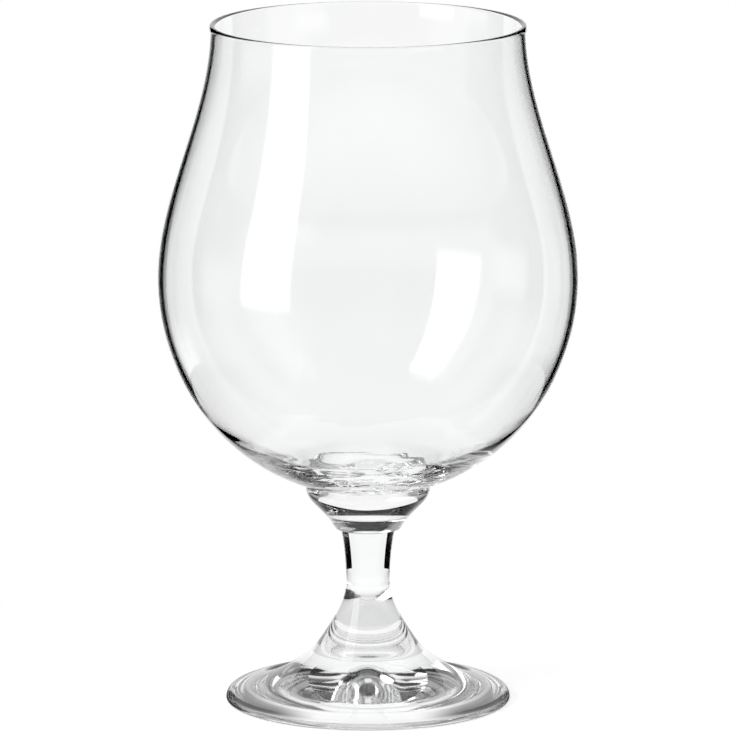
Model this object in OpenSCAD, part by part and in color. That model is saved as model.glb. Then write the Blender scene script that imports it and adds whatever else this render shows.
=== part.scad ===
// Stemmed beer glass: a blown bowl, a collar, a drawn stem and a pressed foot, fused one on the other.
// Millimetres, +Z up. The origin is the middle of the plane that the foot rests on.

/* [Overall] */
// Height of the glass, from the table to the rim
glass_h = 156; // [130:1:200]
// Widest outside diameter of the bowl
belly_d = 95.5; // [80:0.5:120]
// Outside diameter of the mouth
rim_d = 71.6; // [56:0.1:90]
// Diameter of the foot
foot_d = 65; // [54:0.5:90]

/* [Bowl] */
// Height of the widest place above the bowl's weld face
belly_rise = 47.4; // [36:0.1:60]
// Wall at the rim, which is also the width of the rounded lip
rim_wall = 1.2; // [0.8:0.1:2]
// Wall at the widest place
belly_wall = 1.2; // [0.8:0.1:2.5]
// Glass between the weld face and the lowest point of the inside
floor_wall = 2; // [1:0.1:5]
// How closely the thick glass of the base keeps to the middle
base_focus = 6; // [2:1:12]

/* [Collar] */
// Height of the collar
collar_h = 10.4; // [6:0.1:16]
// Diameter of the weld face between the bowl and the collar
collar_top_d = 28.4; // [20:0.1:36]
// Diameter of the collar's lower edge
collar_bottom_d = 15.3; // [13.4:0.1:19]
// Round on the collar's lower edge
collar_edge_r = 0.4; // [0.2:0.1:1]
// How far the upper flank is pushed out of a straight cone
collar_swell = 2.6; // [0:0.05:3]
// How far the lower flank is drawn in from a straight cone
collar_draw = 0.55; // [0:0.05:1.5]

/* [Stem] */
// Height of the stem
stem_h = 28.6; // [20:0.1:50]
// Diameter of the weld face between the collar and the stem
stem_top_d = 12.4; // [10:0.1:13.2]
// Diameter of the waist
waist_d = 10; // [7:0.1:10]
// Height of the waist above the foot's weld face
waist_rise = 15.8; // [12:0.1:18]
// Steepness of the flare where it meets the foot, in degrees
flare_angle = 55; // [45:1:70]

/* [Foot] */
// Height of the foot at its weld face
foot_h = 11.2; // [7:0.1:16]
// Diameter of the weld face between the stem and the foot
foot_weld_d = 25.4; // [20:0.1:32]
// Small round on the underside of the edge
foot_low_r = 0.3; // [0.1:0.1:1]
// Broad round on the upper side of the edge
foot_high_r = 2; // [0.8:0.1:3]
// Steepness of the top where it meets the stem, in degrees
foot_top_angle = 41; // [25:1:50]
// Steepness of the top near the edge, in degrees
foot_rim_angle = 10; // [4:1:20]
// Width of the flat ring that the glass stands on
ring_w = 2; // [1:0.1:6]
// Height of the hollow's round peak under the stem
hollow_h = 6; // [3:0.1:6.5]
// Height of the shelf that the hollow runs out to
shelf_h = 2.4; // [0.5:0.1:2.6]
// Steepness of that shelf, in degrees
shelf_angle = 4.75; // [0:0.25:8]
// Steepness of the hollow where it meets the ring, in degrees
ring_angle = 43.4; // [20:0.1:60]

/* [Hidden] */

// Clear, colourless glass
glass_tint = "azure";
glass_alpha = 0.35;

// Radii of the round sections
belly_r = belly_d / 2;
rim_r = rim_d / 2;
collar_top_r = collar_top_d / 2;
collar_bottom_r = collar_bottom_d / 2;
stem_top_r = stem_top_d / 2;
waist_r = waist_d / 2;
foot_weld_r = foot_weld_d / 2;
foot_r = foot_d / 2;
ring_in_r = foot_r - foot_low_r - ring_w;
lip_r = rim_wall / 2;

// Heights of the weld faces, counted up the stack
stem_z = foot_h;
collar_z = stem_z + stem_h;
bowl_z = collar_z + collar_h;
waist_z = stem_z + waist_rise;
belly_z = bowl_z + belly_rise;
lip_z = glass_h - lip_r;

// The round bottom is part of an ellipse that would reach the axis this far below the belly
weld_angle = acos(collar_top_r / belly_r);
belly_drop = belly_rise / sin(weld_angle);
floor_drop = belly_rise - floor_wall;
thick_base = belly_drop - floor_drop;

// Lengths of the curves' handles, as shares of the rise or run that each curve covers
flare_foot_share = 0.5;
flare_waist_share = 0.23;
neck_waist_share = 0.47;
neck_top_share = 0.27;
neck_lean_share = 0.5;
foot_inner_share = 0.25;
foot_outer_share = 0.36;
hollow_peak_share = 0.133;
shelf_inner_share = 0.296;
shelf_outer_share = 0.171;
hollow_ring_share = 0.0986;

// Place of the shelf, as a share of the way from the axis to the ring
shelf_share = 2 / 3;

// Places of the flank's two handles, as shares of the way from the collar's lower edge to its top
flank_low_share = 0.43;
flank_high_share = 0.75;

// Angles of a square corner and of a straight line, in degrees
quarter_turn = 90;
half_turn = 180;

// Steps along each curve
curve_steps = 24;
lip_steps = 10;
edge_steps = 8;
$fn = 128;

// Points of a cubic curve from a to d, pulled towards b and c
function pulled(a, b, c, d) = [
    for (i = [0:curve_steps])
        let (t = i / curve_steps, u = 1 - t)
            u * u * u * a + 3 * u * u * t * b + 3 * u * t * t * c + t * t * t * d
];

// Points of a round, turning from one angle to another about a centre
function round_points(centre, radius, from, to, steps) = [
    for (i = [0:steps])
        let (turn = from + (to - from) * i / steps)
            centre + radius * [cos(turn), sin(turn)]
];

// Share of the way from belly to lip that the wall has drawn in: level at both ends, steepest halfway
function drawn_in_share(t) = t * t * (3 - 2 * t);

// Side of the bowl from the belly up to the lip
function shoulder(wide_r, narrow_r) = [
    for (i = [0:curve_steps])
        let (t = i / curve_steps)
            [wide_r - (wide_r - narrow_r) * drawn_in_share(t), belly_z + (lip_z - belly_z) * t]
];

// Outside of the round bottom, from the weld face up to the belly
function bottom_outside() = [
    for (i = [0:curve_steps])
        let (turn = weld_angle * (1 - i / curve_steps))
            [belly_r * cos(turn), belly_z - belly_drop * sin(turn)]
];

// Inside of the round bottom, from the belly down to the axis, thickening towards the middle
function bottom_inside() = [
    for (i = [0:curve_steps])
        let (
            turn = quarter_turn * i / curve_steps,
            wall = belly_wall + (thick_base - belly_wall) * pow(sin(turn), base_focus)
        )
            [(belly_r - belly_wall) * cos(turn), belly_z - (belly_drop - wall) * sin(turn)]
];

// A list read from its far end
function reversed(points) = [for (i = [len(points) - 1:-1:0]) points[i]];

// A list without its first point, which the list before it already ends on
function after_first(points) = [for (i = [1:len(points) - 1]) points[i]];

module turned(points) {
    rotate_extrude() polygon(points);
}

module bowl() {
    outside = concat(bottom_outside(), after_first(shoulder(belly_r, rim_r)));
    lip = round_points([rim_r - lip_r, lip_z], lip_r, 0, half_turn, lip_steps);
    side_inside = reversed(shoulder(belly_r - belly_wall, rim_r - rim_wall));
    inside = concat(side_inside, after_first(bottom_inside()));
    color(glass_tint, glass_alpha)
        turned(concat([[0, bowl_z]], outside, after_first(lip), after_first(inside)));
}

module collar() {
    // The flank leans out by this angle, and the round on the lower edge stops square to it
    lean = atan2(collar_top_r - collar_bottom_r, collar_h);
    edge_centre = [collar_bottom_r - collar_edge_r, collar_z + collar_edge_r];
    edge = round_points(edge_centre, collar_edge_r, -quarter_turn, -lean, edge_steps);
    start = edge[edge_steps];
    end = [collar_top_r, bowl_z];
    outward = [cos(lean), -sin(lean)];
    flank = pulled(
        start,
        start + flank_low_share * (end - start) - collar_draw * outward,
        start + flank_high_share * (end - start) + collar_swell * outward,
        end
    );
    color(glass_tint, glass_alpha)
        turned(concat([[0, collar_z]], edge, after_first(flank), [[0, bowl_z]]));
}

module stem() {
    flare_handle = flare_foot_share * waist_rise;
    neck_rise = stem_h - waist_rise;
    neck_lean = neck_lean_share * (stem_top_r - waist_r);
    foot_end = [foot_weld_r, stem_z];
    waist = [waist_r, waist_z];
    top_end = [stem_top_r, collar_z];
    flare = pulled(
        foot_end,
        foot_end + flare_handle * [-1 / tan(flare_angle), 1],
        waist - [0, flare_waist_share * waist_rise],
        waist
    );
    neck = pulled(
        waist,
        waist + [0, neck_waist_share * neck_rise],
        top_end - [neck_lean, neck_top_share * neck_rise],
        top_end
    );
    color(glass_tint, glass_alpha)
        turned(concat([[0, stem_z]], flare, after_first(neck), [[0, collar_z]]));
}

module foot() {
    // The hollow is a bell with a round peak, which runs out to a shelf and then falls to the flat ring
    peak = [0, hollow_h];
    shelf = [shelf_share * ring_in_r, shelf_h];
    along_shelf = ring_in_r * [1, -tan(shelf_angle)];
    ring_start = [ring_in_r, 0];
    bell = pulled(
        peak,
        peak + [hollow_peak_share * ring_in_r, 0],
        shelf - shelf_inner_share * along_shelf,
        shelf
    );
    fall = pulled(
        shelf,
        shelf + shelf_outer_share * along_shelf,
        ring_start + hollow_ring_share * ring_in_r * [-cos(ring_angle), sin(ring_angle)],
        ring_start
    );
    low_centre = [foot_r - foot_low_r, foot_low_r];
    high_centre = [foot_r - foot_high_r, foot_low_r];
    low_edge = round_points(low_centre, foot_low_r, -quarter_turn, 0, edge_steps);
    high_edge = round_points(high_centre, foot_high_r, 0, quarter_turn - foot_rim_angle, edge_steps);
    underside = concat(bell, after_first(fall));
    edge = concat(low_edge, after_first(high_edge));
    outer = high_edge[edge_steps];
    inner = [foot_weld_r, foot_h];
    run = foot_r - foot_weld_r;
    top = pulled(
        outer,
        outer + foot_outer_share * run * [-1, tan(foot_rim_angle)],
        inner + foot_inner_share * run * [1, -tan(foot_top_angle)],
        inner
    );
    color(glass_tint, glass_alpha)
        turned(concat(underside, edge, after_first(top), [[0, foot_h]]));
}

bowl();
collar();
stem();
foot();
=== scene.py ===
# %% [markdown]
# # A stemmed beer glass, cell by cell
# The object is one empty glass of clear, colourless glass. A glassmaker puts it together hot
# from four pieces: a blown bowl, a short collar under it, a drawn stem and a pressed foot.
# The sizes are settled already: a imported CAD model comes in as a fixed frame, in metres, and
# nothing here moves it. The box round it is kept. A glass is easier to think of in millimetres,
# so its sizes are written as a number times mm.

# %% Load the frame
import math

import bpy
import numpy as np
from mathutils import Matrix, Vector


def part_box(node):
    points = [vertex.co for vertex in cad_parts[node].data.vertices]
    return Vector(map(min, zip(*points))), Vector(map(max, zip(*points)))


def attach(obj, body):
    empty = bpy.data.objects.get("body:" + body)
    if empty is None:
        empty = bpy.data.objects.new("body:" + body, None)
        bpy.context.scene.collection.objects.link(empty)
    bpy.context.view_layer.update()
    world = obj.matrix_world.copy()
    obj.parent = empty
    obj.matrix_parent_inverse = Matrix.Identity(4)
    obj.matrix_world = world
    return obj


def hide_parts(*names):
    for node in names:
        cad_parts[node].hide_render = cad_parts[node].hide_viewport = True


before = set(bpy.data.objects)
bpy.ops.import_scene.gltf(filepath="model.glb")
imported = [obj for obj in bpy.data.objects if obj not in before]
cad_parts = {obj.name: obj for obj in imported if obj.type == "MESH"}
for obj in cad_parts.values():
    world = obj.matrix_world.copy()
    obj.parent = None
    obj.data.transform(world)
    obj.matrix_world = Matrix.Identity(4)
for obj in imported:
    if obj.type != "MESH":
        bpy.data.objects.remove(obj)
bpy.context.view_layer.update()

mm = 0.001


def in_mm(values):
    """Metres as millimetres, rounded for print."""
    return [round(value / mm, 2) for value in values]


print("nodes:", sorted(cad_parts))

# %% [markdown]
# ## Sizes
# What the frame can tell is asked from it: where one piece of glass ends and the next begins,
# and how wide each piece is. A box can't show a wall, a rounding or a slope, so those sizes are
# written here once more.

# %% Sizes from the frame, and sizes a box can't show
def width_and_height(node):
    """Largest radius of a node, and the heights of its lower and upper end."""
    low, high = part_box(node)
    return high.x, low.z, high.z


belly_r, bowl_z, rim_z = width_and_height("bowl")
_, collar_z, _ = width_and_height("collar")
foot_weld_r, stem_z, _ = width_and_height("stem")
foot_r, _, foot_z = width_and_height("foot")

rim_r, wall, floor_wall, belly_rise = 35.8 * mm, 1.2 * mm, 2.0 * mm, 47.4 * mm
collar_top_r, collar_bottom_r, collar_edge_r = 14.2 * mm, 7.65 * mm, 0.4 * mm
collar_swell, collar_draw = 2.6 * mm, 0.55 * mm
stem_top_r, waist_r, waist_rise = 6.2 * mm, 5.0 * mm, 15.8 * mm
foot_low_r, foot_high_r, ring_width = 0.3 * mm, 2.0 * mm, 2.0 * mm
hollow_height, shelf_height = 6.0 * mm, 2.4 * mm
flare_angle, foot_top_angle, foot_rim_angle = np.radians([55.0, 41.0, 10.0])
shelf_angle, ring_angle = np.radians([4.75, 43.4])
print("three welds and the rim at", in_mm((stem_z, collar_z, bowl_z, rim_z)), "mm")

# %% [markdown]
# ## Camera
# The mouth and the foot are both circles, and in the photograph both are ellipses. How flat
# they are gives the height that the camera looks from, about 11 degrees above level, and how
# much flatter the mouth is than the foot gives the distance. A long lens from well back does
# the rest. There is no blur by depth, so every edge stays crisp.

# %% Camera
look_at = Vector((0.0, 0.0, 0.0769))
camera_distance, camera_angle, camera_lens = 1.673, math.radians(11.16), 359.6
camera_way = Vector((0.0, -math.cos(camera_angle), math.sin(camera_angle)))

camera_data = bpy.data.cameras.new("camera")
camera_data.lens = camera_lens
camera_data.sensor_width = 36.0
camera_data.clip_start = 0.05
camera_data.dof.use_dof = False
camera = bpy.data.objects.new("camera", camera_data)
camera.location = look_at + camera_distance * camera_way
camera.rotation_euler = (look_at - camera.location).to_track_quat("-Z", "Y").to_euler()
bpy.context.scene.collection.objects.link(camera)
bpy.context.scene.camera = camera
print("camera at", [round(value, 3) for value in camera.location])

# %% [markdown]
# ## An outline carried round the axis
# Every piece of this glass is round, so every piece can be made as on a lathe: half of the
# section is drawn as an outline of radius and height, and carried once round the upright axis.
# Blender's Screw modifier or a spin would do that too. Here the grid of points is worked out
# with numpy in one go, because then small unevenness can be added to the grid, row by row
# and angle by angle, which is what tells real glass from a perfect lathe shape.

# %% The lathe
TURNS = 240
turn = np.linspace(0.0, 2.0 * np.pi, TURNS, endpoint=False)


def rows_round(outline, swell=None):
    """Carry an outline of (radius, height) rows round Z.

    Point (i, k) = (R cos a, R sin a, Z), with a = 2 pi k / TURNS. R and Z are row i of the
    outline, moved out of the glass, square to the outline, by swell[i, k] where one is given.
    """
    along = np.gradient(outline, axis=0)
    along /= np.linalg.norm(along, axis=1, keepdims=True)
    outward = np.stack([along[:, 1], -along[:, 0]], axis=1)
    push = np.zeros((len(outline), TURNS)) if swell is None else swell
    radius = outline[:, :1] + outward[:, :1] * push
    height = outline[:, 1:] + outward[:, 1:] * push
    return np.stack([radius * np.cos(turn), radius * np.sin(turn), height], axis=2)


def faces_between(rows):
    """Faces of a closed lathe shape: a fan at each pole, four-sided faces from ring to ring."""
    step = np.arange(TURNS)
    after = (step + 1) % TURNS
    ring = 1 + TURNS * np.arange(rows)[:, None]
    low, high = ring[:-1], ring[1:]
    sides = np.stack([low + step, low + after, high + after, high + step], axis=2)
    first = np.stack([np.zeros_like(step), 1 + after, 1 + step], axis=1)
    last_ring = 1 + TURNS * (rows - 1)
    last_pole = np.full_like(step, last_ring + TURNS)
    last = np.stack([last_pole, last_ring + step, last_ring + after], axis=1)
    return first, sides.reshape(-1, 4), last


def turned_piece(name, outline, welds=(), mould=(), creases=(), swell=None):
    """Make one closed piece from an outline that starts and ends on the axis.

    The outline runs from the middle of the underside, up the outside and back to the middle. A
    face between rows i and i + 1 takes the second finish where i is in welds, and the third
    where it is in mould. The rings in creases stay sharp.
    """
    grid = rows_round(outline, swell)
    rings = grid[1:-1]
    points = np.concatenate([grid[0, :1], rings.reshape(-1, 3), grid[-1, :1]])
    points[[0, -1], :2] = 0.0
    first, sides, last = faces_between(len(rings))
    mesh = bpy.data.meshes.new(name)
    mesh.from_pydata(points, [], first.tolist() + sides.tolist() + last.tolist())
    mesh.shade_smooth()

    band = np.repeat(np.arange(len(outline) - 1), TURNS)
    finish = np.isin(band, welds) + 2 * np.isin(band, mould)
    mesh.polygons.foreach_set("material_index", finish.astype(np.int32))

    edges = np.empty(2 * len(mesh.edges), dtype=np.int32)
    mesh.edges.foreach_get("vertices", edges)
    ring_of = (edges.reshape(-1, 2) - 1) // TURNS + 1
    sharp = (ring_of[:, 0] == ring_of[:, 1]) & np.isin(ring_of[:, 0], creases)
    mesh.attributes.new("sharp_edge", "BOOLEAN", "EDGE").data.foreach_set("value", sharp)

    piece = bpy.data.objects.new(name, mesh)
    bpy.context.scene.collection.objects.link(piece)
    triangles = len(mesh.loops) - 2 * len(mesh.polygons)
    print(name, "has", len(points), "points and", triangles, "triangles")
    return piece


print("the lathe turns in", TURNS, "steps")

# %% [markdown]
# ## Two kinds of curve
# Hot glass pulls into smooth curves. A cubic curve with two handles draws such a pull with four
# points, and a round draws an edge that the flame has softened. Both give rows of radius and
# height. The spacing is finer than the eye can see, because glass shows every facet twice: once
# in what it mirrors and once in what it bends.

# %% Pulled curves and rounds
def pulled(start, handle_1, handle_2, end, steps=48):
    """Cubic curve: u^3 start + 3 u^2 t handle_1 + 3 u t^2 handle_2 + t^3 end, with u = 1 - t."""
    t = np.linspace(0.0, 1.0, steps + 1)[:, None]
    u = 1.0 - t
    start, handle_1, handle_2, end = map(np.asarray, (start, handle_1, handle_2, end))
    return u**3 * start + 3 * u**2 * t * handle_1 + 3 * u * t**2 * handle_2 + t**3 * end


def rounded(centre, radius, from_angle, to_angle, steps=16):
    """Arc: centre + radius (cos a, sin a), with a going evenly from one angle to the other."""
    a = np.linspace(from_angle, to_angle, steps + 1)[:, None]
    return np.asarray(centre) + radius * np.concatenate([np.cos(a), np.sin(a)], axis=1)


def joined(*parts):
    """Outline parts end to end, without the point that two neighbours share."""
    return np.concatenate([parts[0]] + [part[1:] for part in parts[1:]])


quarter = math.pi / 2
print("a test pull has", len(pulled((0, 0), (1, 0), (1, 1), (0, 1))), "points")

# %% [markdown]
# ## The bowl's outline
# A blown bowl hangs from the pipe, so its bottom is close to half an ellipse, and the maker then
# draws the mouth in. From belly to lip the wall follows an S: upright at both ends, leaning in
# most halfway. The inside runs along it at wall distance, except at the bottom, where the glass
# gathers and the floor grows thick. The lip is a half round, as the flame leaves it.

# %% Bowl outline
BASE_FOCUS = 6
belly_z = bowl_z + belly_rise
lip_r = wall / 2
lip_z = rim_z - lip_r
weld_angle = math.acos(collar_top_r / belly_r)
belly_drop = belly_rise / math.sin(weld_angle)
thick_base = belly_drop - belly_rise + floor_wall


def shoulder(wide_r, narrow_r, steps=56):
    """Side from belly to lip: height rises evenly with t, and radius falls by t^2 (3 - 2 t)."""
    t = np.linspace(0.0, 1.0, steps + 1)
    radius = wide_r - (wide_r - narrow_r) * t * t * (3 - 2 * t)
    return np.stack([radius, belly_z + (lip_z - belly_z) * t], axis=1)


def bottom_outside(steps=56):
    """Ellipse from the weld face up to the belly."""
    a = np.linspace(weld_angle, 0.0, steps + 1)
    return np.stack([belly_r * np.cos(a), belly_z - belly_drop * np.sin(a)], axis=1)


def bottom_inside(steps=110):
    """Ellipse from the belly down to the axis, over glass that grows with sin(a)^BASE_FOCUS."""
    a = np.linspace(0.0, quarter, steps + 1)
    glass = wall + (thick_base - wall) * np.sin(a) ** BASE_FOCUS
    height = belly_z - (belly_drop - glass) * np.sin(a)
    return np.stack([(belly_r - wall) * np.cos(a), height], axis=1)


bowl_outside = joined(bottom_outside(), shoulder(belly_r, rim_r))
bowl_lip = rounded((rim_r - lip_r, lip_z), lip_r, 0.0, math.pi, steps=20)
bowl_inside = joined(shoulder(belly_r - wall, rim_r - wall)[::-1], bottom_inside())
bowl_outline = np.concatenate([[[0.0, bowl_z]], joined(bowl_outside, bowl_lip, bowl_inside)])
print("bowl outline:", len(bowl_outline), "rows, floor at", *in_mm(bowl_outline[-1:, 1]), "mm")

# %% [markdown]
# ## Settle waves on the floor of the bowl
# Where the floor is thick the glass stays soft longest, and it settles in low rings that are
# never quite round. They are about a tenth of a millimetre high, yet they are the liveliest
# thing on the whole glass, because they bend the light of the white table. A bump could fake
# them only for mirrored light, so they are real geometry.

# %% Settle waves
WAVE_HEIGHT, WAVE_PITCH = 0.09 * mm, 5.2 * mm
FINE_SHARE, FINE_PITCH, FINE_LEAN = 0.5, 3.1 * mm, 1.7
FLOOR_FOCUS, CALM_R = 6, 4 * mm
LEANS = ((1, 2.6, 0.7), (2, 1.8, 2.1), (3, 1.2, 4.0), (5, 0.7, 1.0))


def settle_waves(outline):
    """Rings sin(2 pi r / pitch + lean(a)) on the inside rows, which fade out above the floor.

    lean(a) is the sum of amount sin(count a + start) over LEANS, so no ring is quite round. Finer
    rings that lean the other way lie over them.
    """
    radius = outline[:, :1]
    inside = np.arange(len(outline))[:, None] > len(bowl_outside) + len(bowl_lip)
    low = np.clip((belly_z - outline[:, 1:]) / belly_rise, 0.0, 1.0)
    fade = inside * low**FLOOR_FOCUS * np.clip(radius / CALM_R, 0.0, 1.0)
    lean = sum(amount * np.sin(count * turn + start) for count, amount, start in LEANS)
    rings = np.sin(2 * np.pi * radius / WAVE_PITCH + lean)
    fine_rings = np.sin(2 * np.pi * radius / FINE_PITCH - FINE_LEAN * lean)
    return WAVE_HEIGHT * fade * (rings + FINE_SHARE * fine_rings)


bowl_swell = settle_waves(bowl_outline)
print("settle waves reach", round(float(np.abs(bowl_swell).max()) / mm, 3), "mm")

# %% [markdown]
# ## The four pieces
# Each piece is a closed body of its own, as it is on the bench before the pieces are stuck
# together. Where two of them are fused, both have the same flat round face. Those weld faces
# take a second finish, so each piece can stay closed and the light still passes as if the glass
# were whole.

# %% Bowl
bowl = turned_piece("blown_bowl", bowl_outline, welds=[0], creases=[1], swell=bowl_swell)

# %% [markdown]
# ## The collar
# Under the bowl sits a short funnel of glass. On the bench it is a small gather that is stuck to
# the bowl while hot and squeezed to shape, which leaves a fine step at its lower edge. A straight
# cone would be simpler, but the flank swells at the top and draws in below, and the dark bands
# across it follow that curve.

# %% Collar
DRAW_SHARE, SWELL_SHARE = 0.43, 0.75
collar_lean = math.atan2(collar_top_r - collar_bottom_r, bowl_z - collar_z)
edge_centre = (collar_bottom_r - collar_edge_r, collar_z + collar_edge_r)
collar_edge = rounded(edge_centre, collar_edge_r, -quarter, -collar_lean)
collar_bow = np.array([math.cos(collar_lean), -math.sin(collar_lean)])
flank_start, flank_end = collar_edge[-1], np.array([collar_top_r, bowl_z])
collar_flank = pulled(
    flank_start,
    flank_start + DRAW_SHARE * (flank_end - flank_start) - collar_draw * collar_bow,
    flank_start + SWELL_SHARE * (flank_end - flank_start) + collar_swell * collar_bow,
    flank_end,
)
collar_outline = np.concatenate([
    [[0.0, collar_z], [stem_top_r, collar_z]],
    joined(collar_edge, collar_flank),
    [[0.0, bowl_z]],
])
last_row = len(collar_outline) - 2
collar = turned_piece("funnel_collar", collar_outline, welds=[0, last_row], creases=[1, last_row])

# %% [markdown]
# ## The stem
# The stem is drawn: hot glass is pulled until it thins to a waist, and it stays wide at both
# ends. Two pulled curves meet at the waist, and both are upright there, so that no ring shows
# where they join. The lower one flares out to the foot. How long each handle is, as a share of
# its curve's rise, says how sharply the curve turns.

# %% Stem
FLARE_SHARE, BELOW_WAIST_SHARE = 0.5, 0.23
ABOVE_WAIST_SHARE, TOP_SHARE, TOP_LEAN_SHARE = 0.47, 0.27, 0.5
foot_end = np.array([foot_weld_r, stem_z])
waist = np.array([waist_r, stem_z + waist_rise])
top_end = np.array([stem_top_r, collar_z])
neck_rise = collar_z - waist[1]
stem_flare = pulled(
    foot_end,
    foot_end + FLARE_SHARE * waist_rise * np.array([-1 / math.tan(flare_angle), 1.0]),
    waist - np.array([0.0, BELOW_WAIST_SHARE * waist_rise]),
    waist,
)
stem_neck = pulled(
    waist,
    waist + np.array([0.0, ABOVE_WAIST_SHARE * neck_rise]),
    top_end - np.array([TOP_LEAN_SHARE * (stem_top_r - waist_r), TOP_SHARE * neck_rise]),
    top_end,
)
stem_outline = np.concatenate([[[0.0, stem_z]], joined(stem_flare, stem_neck), [[0.0, collar_z]]])
last_row = len(stem_outline) - 2
stem = turned_piece("drawn_stem", stem_outline, welds=[0, last_row], creases=[1, last_row])

# %% [markdown]
# ## The foot
# The foot is pressed in a mould. Its top slopes down to a round edge, and its underside is
# hollow: a bell with a round peak under the stem, a shelf, and a narrow flat ring to stand on.
# The photograph shows the hollow only through the glass, as the dark dome in the middle of the
# foot. The hollow takes a third finish, because the mould leaves it a little less smooth.

# %% Hollow under the foot
SHELF_SHARE, PEAK_SHARE = 2 / 3, 0.133
SHELF_IN_SHARE, SHELF_OUT_SHARE, RING_SHARE = 0.296, 0.171, 0.0986
ring_in_r = foot_r - foot_low_r - ring_width
peak = np.array([0.0, hollow_height])
shelf = np.array([SHELF_SHARE * ring_in_r, shelf_height])
along_shelf = ring_in_r * np.array([1.0, -math.tan(shelf_angle)])
ring_inside = np.array([ring_in_r, 0.0])
up_from_ring = ring_in_r * np.array([-math.cos(ring_angle), math.sin(ring_angle)])
foot_bell = pulled(
    peak,
    peak + np.array([PEAK_SHARE * ring_in_r, 0.0]),
    shelf - SHELF_IN_SHARE * along_shelf,
    shelf,
    steps=72,
)
foot_fall = pulled(
    shelf,
    shelf + SHELF_OUT_SHARE * along_shelf,
    ring_inside + RING_SHARE * up_from_ring,
    ring_inside,
)
foot_hollow = joined(foot_bell, foot_fall)
print("hollow:", len(foot_hollow), "rows")

# %% [markdown]
# The top of the foot is one more pull, from the round edge to the weld under the stem. It starts
# nearly flat and steepens towards the stem, as the mould shapes it.

# %% Foot
RIM_SHARE, WELD_SHARE = 0.36, 0.25
foot_edge = joined(
    rounded((foot_r - foot_low_r, foot_low_r), foot_low_r, -quarter, 0.0),
    rounded((foot_r - foot_high_r, foot_low_r), foot_high_r, 0.0, quarter - foot_rim_angle),
)
foot_run = foot_r - foot_weld_r
foot_outer, foot_inner = foot_edge[-1], np.array([foot_weld_r, foot_z])
foot_top = pulled(
    foot_outer,
    foot_outer + RIM_SHARE * foot_run * np.array([-1.0, math.tan(foot_rim_angle)]),
    foot_inner + WELD_SHARE * foot_run * np.array([1.0, -math.tan(foot_top_angle)]),
    foot_inner,
)
foot_outline = np.concatenate([foot_hollow, joined(foot_edge, foot_top), [[0.0, foot_z]]])
last_hollow, last_row = len(foot_hollow) - 1, len(foot_outline) - 2
foot = turned_piece(
    "pressed_foot", foot_outline,
    welds=[last_row], mould=np.arange(last_hollow), creases=[last_hollow, last_row],
)

# %% [markdown]
# ## Sums with shader sockets
# A finish is a small graph of nodes. Wiring each sum by hand hides the idea, so one class wraps
# a socket and lets Python's own signs add the Math nodes. Any other node comes from the same
# one function: its type, its settings, then the values or links of its sockets.

# %% Sockets that do sums
class Dial:
    """One shader socket; a sum written with it adds a Math node to its tree."""

    def __init__(self, socket):
        self.socket = socket

    @staticmethod
    def node(tree, kind, settings=None, sockets=None, output=0):
        """Add a node: its settings first, then its sockets' values or links. Gives one output."""
        made = tree.nodes.new(kind)
        for name, value in (settings or {}).items():
            setattr(made, name, value)
        for name, value in (sockets or {}).items():
            if isinstance(value, Dial):
                tree.links.new(value.socket, made.inputs[name])
            else:
                made.inputs[name].default_value = value
        return Dial(made.outputs[output]) if len(made.outputs) else made

    @property
    def tree(self):
        """The tree that the socket is in."""
        return self.socket.id_data

    def math(self, operation, *others):
        """A Math node on this value and the others."""
        sockets = dict(enumerate((self, *others)))
        return Dial.node(self.tree, "ShaderNodeMath", {"operation": operation}, sockets)

    def __add__(self, other):
        return self.math("ADD", other)

    __radd__ = __add__

    def __mul__(self, other):
        return self.math("MULTIPLY", other)

    __rmul__ = __mul__

    def __sub__(self, other):
        return self.math("SUBTRACT", other)

    def __rsub__(self, other):
        sockets = {0: other, 1: self}
        return Dial.node(self.tree, "ShaderNodeMath", {"operation": "SUBTRACT"}, sockets)

    def ramp(self, start, end, low=0.0, high=1.0):
        """Smooth rise from low to high while the value goes from start to end."""
        return Dial.node(
            self.tree, "ShaderNodeMapRange", {"interpolation_type": "SMOOTHSTEP"},
            {"Value": self, "From Min": start, "From Max": end, "To Min": low, "To Max": high},
        )


def new_finish(name):
    """An empty material, its tree and the Object coordinates in it."""
    material = bpy.data.materials.new(name)
    material.use_nodes = True
    material.node_tree.nodes.clear()
    place = Dial.node(material.node_tree, "ShaderNodeTexCoord", output="Object")
    return material, material.node_tree, place


def to_surface(shader):
    """End a finish: its surface shows this shader."""
    Dial.node(shader.tree, "ShaderNodeOutputMaterial", None, {"Surface": shader})


print("sums ready")

# %% [markdown]
# ## Clear glass
# Clear soda glass has no colour of its own at this thickness. What the eye sees is what the
# glass bends and mirrors, so the shader is a plain one: full transmission and the refractive
# index of soda glass. Even so, no glass surface is perfect. Blown and pressed glass is faintly
# wavy, a drawn stem has fine lines along it, a tooled collar has fine rings, and all have been
# wiped. A Bump gives the waves, and the wipe marks make the gloss a little less even.

# %% Clear glass
SODA_GLASS_IOR = 1.52
CLEAREST, PALEST_TINT = (0.995, 1.0, 0.998, 1.0), (0.988, 0.994, 0.993, 1.0)
TINT_BAND = (0.35, 0.65)
WIPE_BAND, WIPE_DULL = (0.55, 0.8), 0.012


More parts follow.
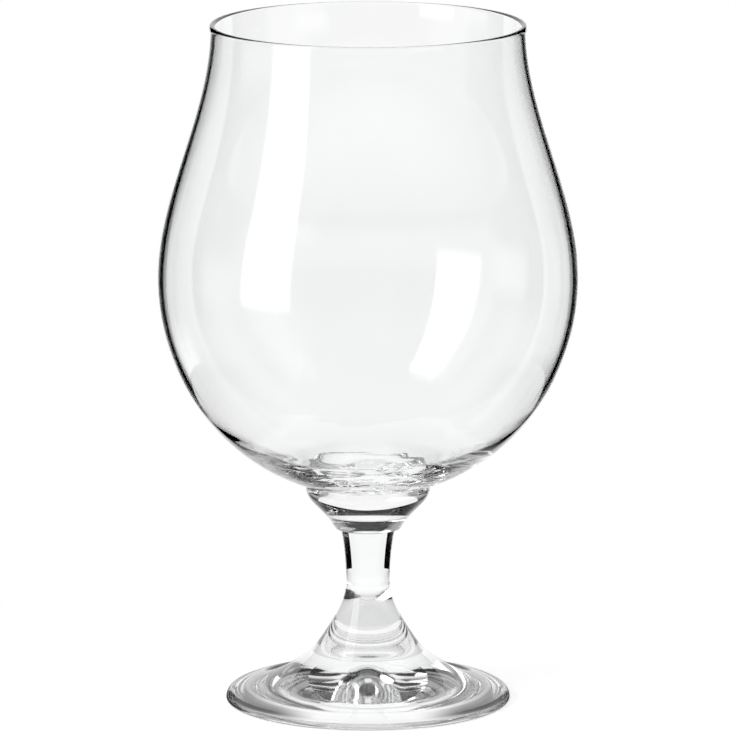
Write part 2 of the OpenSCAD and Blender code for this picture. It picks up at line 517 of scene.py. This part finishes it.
def clear_glass(name, stretch, wave_size, wave_height, dull=0.0):
    """Clear glass with faint waves, and a roughness of dull where nothing was wiped.

    stretch squeezes the waves along X, Y and Z, which makes lines or rings of them.
    """
    material, tree, place = new_finish(name)
    laid = Dial.node(tree, "ShaderNodeMapping", None, {"Vector": place, "Scale": stretch})
    waves = Dial.node(tree, "ShaderNodeTexNoise", None, {
        "Vector": laid, "Scale": 1.0 / wave_size, "Detail": 1.0,
    })
    wiped = Dial.node(tree, "ShaderNodeTexNoise", None, {
        "Vector": place, "Scale": 45.0, "Detail": 4.0, "Distortion": 1.2,
    })
    tint = Dial.node(tree, "ShaderNodeMix", {"data_type": "RGBA"}, {
        0: waves.ramp(*TINT_BAND), 6: CLEAREST, 7: PALEST_TINT,
    }, output=2)
    bump = Dial.node(tree, "ShaderNodeBump", None, {
        "Height": waves, "Strength": 1.0, "Distance": wave_height,
    })
    to_surface(Dial.node(tree, "ShaderNodeBsdfPrincipled", None, {
        "Base Color": tint, "Roughness": wiped.ramp(*WIPE_BAND, dull, dull + WIPE_DULL),
        "Normal": bump, "IOR": SODA_GLASS_IOR, "Transmission Weight": 1.0,
    }))
    print(name, "has waves of", *in_mm([wave_size]), "mm")
    return material


blown_glass = clear_glass("clear_blown_glass", (1.0, 1.0, 0.5), 30 * mm, 0.02 * mm)
tooled_glass = clear_glass("clear_tooled_glass", (1.0, 1.0, 2.0), 9 * mm, 0.02 * mm)
drawn_glass = clear_glass("clear_drawn_glass", (1.0, 1.0, 0.08), 3 * mm, 0.004 * mm)
pressed_glass = clear_glass("clear_pressed_glass", (1.0, 1.0, 1.0), 12 * mm, 0.02 * mm)
mould_glass = clear_glass("clear_mould_glass", (1.0, 1.0, 1.0), 12 * mm, 0.02 * mm, dull=0.05)

# %% [markdown]
# ## The fused faces
# When two hot pieces touch they become one glass, and nothing can be seen at the weld. In the
# model both weld faces are still there, so they get a finish that lets every ray straight
# through.

# %% Fused faces
fused, fused_tree, _ = new_finish("fused_weld")
to_surface(Dial.node(fused_tree, "ShaderNodeBsdfTransparent"))

for piece, finish, node in (
    (bowl, blown_glass, "bowl"),
    (collar, tooled_glass, "collar"),
    (stem, drawn_glass, "stem"),
    (foot, pressed_glass, "foot"),
):
    piece.data.materials.append(finish)
    piece.data.materials.append(fused)
    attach(piece, "root")
    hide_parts(node)
    print(piece.name, "stands for", node)
foot.data.materials.append(mould_glass)

# %% [markdown]
# ## How a ray came
# Clear glass shows nothing of its own, only what stands round it: mirrored on its surface, or
# bent through its body. In a studio, black and white cards are moved about until both look
# right. Here each part of the set can ask how a ray came to it, with the Light Path node:
# straight from the camera, mirrored, or bent. The answer goes into the factor of a Mix Shader.

# %% Kinds of ray, and mixed shaders
RAY_KINDS = ("Camera", "Glossy", "Transmission")


def ray_kinds(tree):
    """Three flags, 1 or 0: straight from the camera, mirrored or bent by glass, bent by glass."""
    to_camera, mirrored, bent = (
        Dial.node(tree, "ShaderNodeLightPath", output=f"Is {kind} Ray") for kind in RAY_KINDS
    )
    return to_camera, mirrored.math("MAXIMUM", bent), bent


def mixed(factor, first, second):
    """The first shader where the factor is 0, the second where it is 1."""
    shaders = {0: factor, 1: first, 2: second}
    return Dial.node(factor.tree, "ShaderNodeMixShader", None, shaders)


def white_glow(tree, strength):
    """An even white glow; a strength of 1 is white."""
    return Dial.node(tree, "ShaderNodeEmission", None, {"Strength": strength})


def axes_of(place):
    """The X, Y and Z of a vector, each as a value to do sums with."""
    apart = Dial.node(place.tree, "ShaderNodeSeparateXYZ", None, {0: place})
    return [Dial(socket) for socket in apart.socket.node.outputs]


print("rays told apart:", *RAY_KINDS)

# %% [markdown]
# ## The finish of the table, with painted shade
# Glass is photographed on a small white table in a dark room. Where a bent ray lands on the
# table the glass looks white, and where it misses, dark. To the glass, the table is a white glow
# with soft darker places of painted shade. They stand for the shadows that a real table has
# there: the shade under the foot's edge, behind the stem and its flare and under the bowl, and a
# table top that is lit less towards its front and its sides. Each patch of painted shade has a
# strength, and bands in metres over which it begins: going out from the middle, going sideways,
# or going back.

# %% Painted table shades
TABLE_R = 0.187
white_table, table_tree, table_place = new_finish("white_table")
table_x, table_y, _ = axes_of(table_place)
beside = table_x.math("ABSOLUTE")
from_middle = Dial.node(
    table_tree, "ShaderNodeVectorMath", {"operation": "LENGTH"}, {0: table_place}, output="Value",
)
to_camera, in_glass, bent = ray_kinds(table_tree)

# Painted shade: for bent rays the table is painted darker towards its front edge.
FRONT_DARK, FRONT_OUT, FRONT_BACK = 0.75, (0.07, TABLE_R), (0.14, 0.02)
painted_front_falloff = 1.0 - FRONT_DARK * (
    bent * from_middle.ramp(*FRONT_OUT) * table_y.ramp(*FRONT_BACK)
)
# Painted shade: for mirrored rays the table is painted darker at its sides and under the bowl.
STRIP_SIDE, STRIP_BACK = (0.05, 0.07), (-0.08, -0.02)
painted_side_shade = beside.ramp(*STRIP_SIDE) * table_y.ramp(*STRIP_BACK)
BOWL_DARK, BOWL_OUT = 0.85, (0.085, 0.045)
painted_shade_under_bowl = BOWL_DARK * from_middle.ramp(*BOWL_OUT)
painted_falloff_in_mirrors = 1.0 - (1.0 - bent) * painted_side_shade.math("MAXIMUM", painted_shade_under_bowl)

# Painted shadows on the table: under the foot's edge, behind the stem, and behind its flare.
EDGE_DARK, EDGE_SIDE, EDGE_IN, EDGE_OUT = 0.9, (0.010, 0.022), (0.018, 0.030), (0.044, 0.034)
painted_edge_shade = EDGE_DARK * (
    beside.ramp(*EDGE_SIDE) * from_middle.ramp(*EDGE_IN) * from_middle.ramp(*EDGE_OUT)
)
STEM_DARK, STEM_OUT, STEM_BACK = 0.22, (0.05, 0.03), (-0.012, 0.0)
painted_stem_shade = STEM_DARK * (from_middle.ramp(*STEM_OUT) * table_y.ramp(*STEM_BACK))
FLARE_DARK, FLARE_SIDE, FLARE_BACK = 0.95, (0.005, 0.008), (0.0, 0.012)
FLARE_IN, FLARE_OUT = (0.016, 0.020), (0.036, 0.032)
painted_flare_shade = FLARE_DARK * (
    beside.ramp(*FLARE_SIDE) * from_middle.ramp(*FLARE_IN)
    * from_middle.ramp(*FLARE_OUT) * table_y.ramp(*FLARE_BACK)
)
# Brightness that the painted shadows round the foot leave on the table.
painted_foot_shade = 1.0 - painted_edge_shade.math("MAXIMUM", painted_stem_shade).math("MAXIMUM", painted_flare_shade)
print("table shades with", len(table_tree.nodes), "nodes")

# %% [markdown]
# To the camera the table is a lit white surface near the glass, with its shadow, and melts into
# the white background further out. Which of the two looks a ray gets depends on how it came.

# %% Table finish
TABLE_WHITE, TABLE_GLOW, MELT_OUT = (0.85, 0.85, 0.85, 1.0), 0.55, (0.06, 0.13)
black, white = white_glow(table_tree, 0.0), white_glow(table_tree, 1.0)
lit = Dial.node(table_tree, "ShaderNodeBsdfDiffuse", None, {"Color": TABLE_WHITE})
near_glass = Dial.node(table_tree, "ShaderNodeAddShader", None, {
    0: lit, 1: white_glow(table_tree, TABLE_GLOW),
})
for_camera = mixed(from_middle.ramp(*MELT_OUT), near_glass, white)
# The glass sees the table's white glow, darkened by all of the painted shade.
for_glass = mixed(painted_front_falloff * painted_falloff_in_mirrors * painted_foot_shade, black, white)
to_surface(mixed(in_glass, mixed(to_camera, lit, for_camera), for_glass))
white_table.cycles.emission_sampling = "NONE"
print("table finish with", len(table_tree.nodes), "nodes")

# %% [markdown]
# ## The table
# The table is a flat disc, a tenth of a millimetre under the foot, so that the two never share a
# face. It comes from the same lathe as the glass. A disc has no corners, so nothing square turns
# up in the round glass.

# %% Table
def on_set(name, points, faces, finish, only_glass=False):
    """A flat or bent piece of the set, made from its points and faces.

    With only_glass it shows in the glass alone: no camera sees it, and it lights nothing.
    """
    mesh = bpy.data.meshes.new(name)
    mesh.from_pydata(points, [], faces)
    mesh.materials.append(finish)
    thing = bpy.data.objects.new(name, mesh)
    bpy.context.scene.collection.objects.link(thing)
    if only_glass:
        thing.visible_camera = thing.visible_diffuse = thing.visible_shadow = False
    print(name, "is", [round(size, 3) for size in np.ptp(points, axis=0).tolist()], "m")
    return thing


TABLE_RINGS, TABLE_GAP = 11, 0.1 * mm
table_rows = np.linspace(0.0, TABLE_R, TABLE_RINGS + 1)
table_grid = rows_round(np.stack([table_rows, np.full_like(table_rows, -TABLE_GAP)], axis=1))
table_fan, table_sides, _ = faces_between(TABLE_RINGS)
table_points = np.concatenate([table_grid[0, :1], table_grid[1:].reshape(-1, 3)])
table_faces = table_fan[:, ::-1].tolist() + table_sides[:, ::-1].tolist()
on_set("table", table_points, table_faces, white_table)

# %% [markdown]
# ## The room
# Round the table the room is dark, which gives the glass its dark lines. A wide white wall stands
# in front, behind the camera, and only the glass's outer surface mirrors it. Three soft panels
# stand at the left, behind on the left and in front on the right, so the middle of the glass is
# bright from other sides too. High in the corners behind, the room is a soft grey, which softens
# the rings in the foot. The camera itself always sees plain white behind the glass, and the
# light that falls on the table is an even, soft grey.

# %% Ways in the room
room = bpy.data.worlds.new("room")
bpy.context.scene.world = room
room.use_nodes = True
room_tree = room.node_tree
room_tree.nodes.clear()
way_x, way_y, way_z = axes_of(Dial.node(room_tree, "ShaderNodeTexCoord", output="Generated"))
heading = way_x.math("ARCTAN2", way_y)
rise = way_z.math("ARCSINE")


def in_radians(*degrees):
    """Degrees, as the angles that the sums work in."""
    return [math.radians(angle) for angle in degrees]


def panel(middle, half_width, low, high, soft=6.0):
    """1 in a panel, 0 outside it: degrees from +Y towards +X, and degrees above level."""
    off_middle = (heading - math.radians(middle)).math("COSINE")
    outer, inner = in_radians(half_width + soft, half_width - soft)
    across = off_middle.ramp(math.cos(outer), math.cos(inner))
    above = rise.ramp(*in_radians(low - soft, low + soft))
    below = rise.ramp(*in_radians(high + soft, high - soft))
    return across * above * below


def room_glow(strength):
    """A part of the room that glows evenly; a strength of 1 is white."""
    return Dial.node(room_tree, "ShaderNodeBackground", None, {
        "Color": (1.0, 1.0, 1.0, 1.0), "Strength": strength,
    })


print("room ready to be painted")

# %% [markdown]
# Each white part of the room is a mask over the ways that a ray can go. The brightest mask
# counts where two of them meet.

# %% Room
PANELS = {
    "left": (-90.0, 12.0, -12.0, 5.0),
    "behind on the left": (-45.0, 12.0, -36.0, -19.0),
    "in front on the right": (135.0, 12.0, -20.0, -11.0),
}
ROOM_GREY, BENT_FRONT, CORNER_GREY = 0.55, 0.02, 0.45
FRONT_WAY, FRONT_RISE = (0.3, -0.3), in_radians(32.0, 20.0)
CORNER_WAY, CORNER_SIDE, CORNER_RISE = (-0.1, 0.2), (0.35, 0.6), in_radians(0.0, 15.0)

to_camera, in_glass, bent = ray_kinds(room_tree)
front = way_y.ramp(*FRONT_WAY) * rise.ramp(*FRONT_RISE)
to_side = way_x.math("ABSOLUTE").ramp(*CORNER_SIDE)
corners = CORNER_GREY * (bent * way_y.ramp(*CORNER_WAY) * to_side * rise.ramp(*CORNER_RISE))
room_white = (front * (1.0 - (1.0 - BENT_FRONT) * bent)).math("MAXIMUM", corners)
for sizes in PANELS.values():
    room_white = room_white.math("MAXIMUM", panel(*sizes))
for_glass = mixed(room_white, room_glow(0.0), room_glow(1.0))
for_rest = mixed(to_camera, room_glow(ROOM_GREY), room_glow(1.0))
Dial.node(room_tree, "ShaderNodeOutputWorld", None, {
    "Surface": mixed(in_glass, for_rest, for_glass),
})
print("room with", len(room_tree.nodes), "nodes, and panels", ", ".join(PANELS))

# %% [markdown]
# ## The white card
# A white card stands close behind the glass, a little wider than the bowl. Seen through the
# middle of the glass it fills the view. At the edges the glass bends the view past the card, and
# the dark room behind it draws the outline. The card is narrower beside the stem, because that
# sets how wide the two black bars along the stem are. It stands well above the rim, so that the
# back of the lip stays light.

# %% White card
card_white, card_tree, _ = new_finish("white_card")
to_surface(white_glow(card_tree, 1.0))
card_white.cycles.emission_sampling = "NONE"

CARD_BACK = 0.085
CARD_HEIGHTS = (0.0, 0.045, 0.055, 0.25)
CARD_HALVES = (0.057, 0.057, 0.065, 0.058)
card_x = np.outer(CARD_HALVES, (-1.0, 1.0))
card_z = np.outer(CARD_HEIGHTS, (1.0, 1.0))
card_points = np.stack([card_x, np.full_like(card_x, CARD_BACK), card_z], axis=2).reshape(-1, 3)
card_faces = (2 * np.arange(len(card_x) - 1)[:, None] + np.array([0, 1, 3, 2])).tolist()
on_set("white_card", card_points, card_faces, card_white, only_glass=True)

# %% [markdown]
# ## The paper sleeve
# Just inside its dark outline a thin bowl mirrors what stands at its sides, and its back wall
# mirrors what stands in front. If that is all dark, the outline grows into a broad grey band.
# Photographers wrap a sleeve of tracing paper round the bowl: it lets the lights through and adds
# a soft white veil. It is open at the back, where the outline is drawn, and it stops above the
# collar, so the stem and the foot keep their black marks. In front it is cut low, so that the
# dome in the foot stays dark.

# %% Paper sleeve
SLEEVE_R, SLEEVE_LOW, SLEEVE_HIGH, SLEEVE_VEIL = 0.065, 0.05, 0.2, 0.45
PAPER_LOW, PAPER_BACK = (0.06, 0.075), (0.022, 0.010)
PAPER_FRONT_TOP, PAPER_SIDE, PAPER_SIDE_TOP = (0.105, 0.085), (-0.045, -0.015), (0.19, 0.175)
paper, paper_tree, paper_place = new_finish("tracing_paper")
_, paper_y, paper_z = axes_of(paper_place)
in_front = paper_z.ramp(*PAPER_FRONT_TOP)
at_sides = paper_y.ramp(*PAPER_SIDE) * paper_z.ramp(*PAPER_SIDE_TOP)
papered = paper_y.ramp(*PAPER_BACK) * paper_z.ramp(*PAPER_LOW)
veil = SLEEVE_VEIL * (papered * in_front.math("MAXIMUM", at_sides))
open_paper = Dial.node(paper_tree, "ShaderNodeBsdfTransparent")
to_surface(mixed(veil, open_paper, white_glow(paper_tree, 1.0)))
paper.cycles.emission_sampling = "NONE"

sleeve_rows = rows_round(np.array([(SLEEVE_R, SLEEVE_LOW), (SLEEVE_R, SLEEVE_HIGH)]))
sleeve_faces = (faces_between(len(sleeve_rows))[1] - 1).tolist()
on_set("paper_sleeve", sleeve_rows.reshape(-1, 3), sleeve_faces, paper, only_glass=True)

# %% [markdown]
# ## The window light
# One tall soft light stands at the front left. Its picture is the long white strip on the front
# of the bowl, and, by way of the hollow back wall, the bent strip low on the right. It is far
# softer than a lamp, so it leaves only a faint shadow on the table. Its edges fade, as those of
# a cloth-covered light do.

# %% Window light
WINDOW_HEADING, WINDOW_AWAY, WINDOW_HALF = math.radians(56.0), 0.5, 0.14
WINDOW_LOW, WINDOW_HIGH, WINDOW_GLOW = 0.0, 0.95, 3.0
SIDE_FADE, LOW_FADE, HIGH_FADE = 0.02, 0.05, 0.2
toward = np.array([-math.sin(WINDOW_HEADING), -math.cos(WINDOW_HEADING), 0.0])
sideways = np.array([math.cos(WINDOW_HEADING), -math.sin(WINDOW_HEADING), 0.0])
window_points = WINDOW_AWAY * toward + np.outer((-1, 1, 1, -1), WINDOW_HALF * sideways)
window_points[:, 2] = (WINDOW_LOW, WINDOW_LOW, WINDOW_HIGH, WINDOW_HIGH)

cloth, cloth_tree, cloth_place = new_finish("window_cloth")
cloth_x, cloth_y, cloth_z = axes_of(cloth_place)
off_middle = (cloth_x * sideways[0] + cloth_y * sideways[1]).math("ABSOLUTE")
pane = off_middle.ramp(WINDOW_HALF, WINDOW_HALF - SIDE_FADE)
pane = pane * cloth_z.ramp(WINDOW_LOW, WINDOW_LOW + LOW_FADE)
pane = pane * cloth_z.ramp(WINDOW_HIGH, WINDOW_HIGH - HIGH_FADE)
no_cloth = Dial.node(cloth_tree, "ShaderNodeBsdfTransparent")
to_surface(mixed(pane, no_cloth, white_glow(cloth_tree, WINDOW_GLOW)))
window = on_set("window_light", window_points, [(0, 1, 2, 3)], cloth)
window.visible_camera = False

# %% [markdown]
# ## Paths of light
# A ray in a glass foot may be mirrored inside many times before it comes out. With too few
# bounces such a ray ends black, so the limits go up. Colours go to the picture unchanged.

# %% Light paths and view
paths = bpy.context.scene.cycles
paths.max_bounces = 32
paths.glossy_bounces = 24
paths.transmission_bounces = 32
paths.transparent_max_bounces = 32
bpy.context.scene.view_settings.view_transform = "Standard"
print("a ray may turn", paths.max_bounces, "times")
